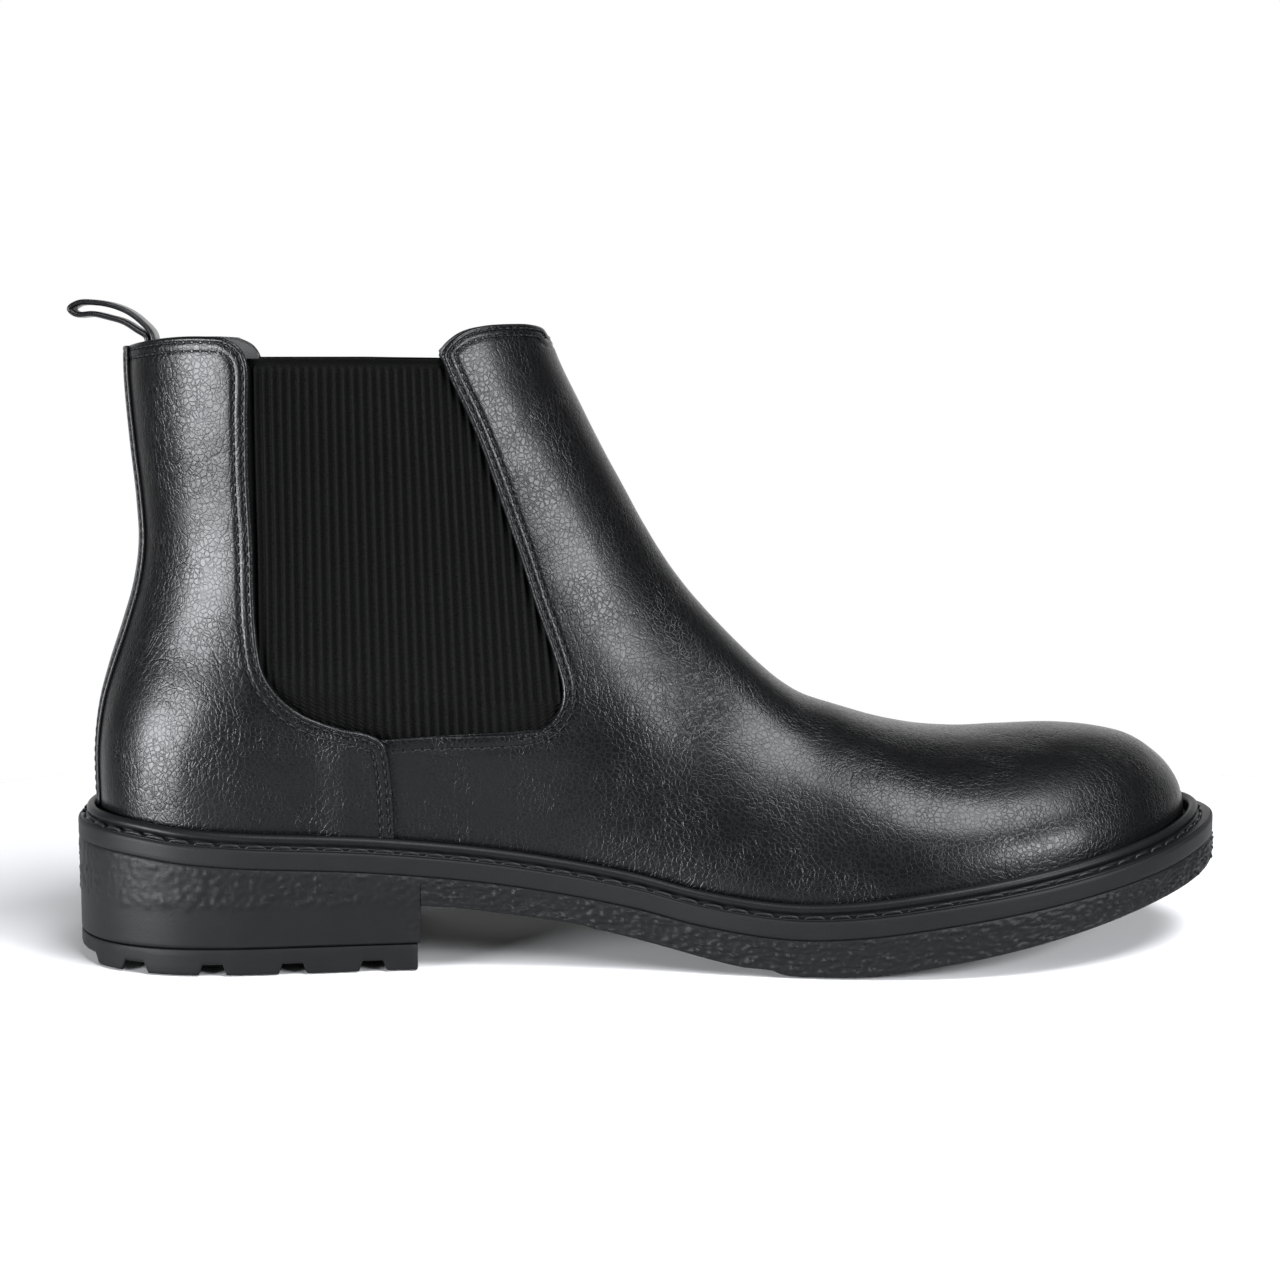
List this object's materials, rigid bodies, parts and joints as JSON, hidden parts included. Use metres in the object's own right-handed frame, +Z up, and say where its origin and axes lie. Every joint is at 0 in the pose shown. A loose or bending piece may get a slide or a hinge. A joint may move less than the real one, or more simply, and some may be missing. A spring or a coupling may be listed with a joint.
{
  "type": "chelsea boot",
  "caption": "Ankle boot for a right foot: leather upper, elastic side gores, back pull loop, welted rubber sole with a low heel.",
  "frame": {"origin": "on the ground face of the heel lift, 46 mm in front of the back of the heel, on the heel's middle line", "axes": "+X to the toe, +Z up, -Y to the outer (lateral) side"},
  "size_m": [0.3028, 0.1121, 0.1682],
  "materials": {
    "upper_leather": "fine-grained, semi-gloss black",
    "trim_leather": "semi-gloss black",
    "loop_leather": "glossy black",
    "elastic": "ribbed matt black elastic",
    "lining": "matt black textile",
    "stiffener": "plain",
    "board": "pressed fibre board",
    "cork": "ground cork",
    "shank_steel": "plain",
    "welt_rubber": "satin black",
    "thread": "twisted thread",
    "sole_rubber": "matt charcoal",
    "tread_rubber": "matt charcoal"
  },
  "bodies": {
    "boot": {"vamp": "upper_leather", "quarter_lateral": "upper_leather", "quarter_medial": "upper_leather", "back_strip": "trim_leather", "pull_loop_anchor": "loop_leather", "gore_lateral": "elastic", "gore_medial": "elastic", "vamp_lining": "lining", "quarter_lining": "lining", "insock": "lining", "toe_puff": "stiffener", "heel_counter": "stiffener", "insole_board": "board", "bottom_filler": "cork", "shank": "shank_steel", "welt": "welt_rubber", "welt_thread": "thread", "midsole": "sole_rubber", "outsole": "sole_rubber", "heel_lift": "tread_rubber"},
    "pull_loop": {"pull_loop": "loop_leather"},
    "front_tab": {"vamp_tab": "upper_leather", "vamp_tab_lining": "lining"}
  },
  "joints": [
    {"name": "pull_loop_fold", "type": "hinge", "parent": "boot", "child": "pull_loop", "pos_m": [-0.02505, 0, 0.1564], "axis": [0, 1, 0], "range_deg": [-25, 70], "stiffness_Nm_per_rad": 0.01},
    {"name": "shaft_spread", "type": "hinge", "parent": "boot", "child": "front_tab", "pos_m": [0.1167, 0, 0.0887], "axis": [0, 1, 0], "range_deg": [0, 8], "stiffness_Nm_per_rad": 2}
  ]
}
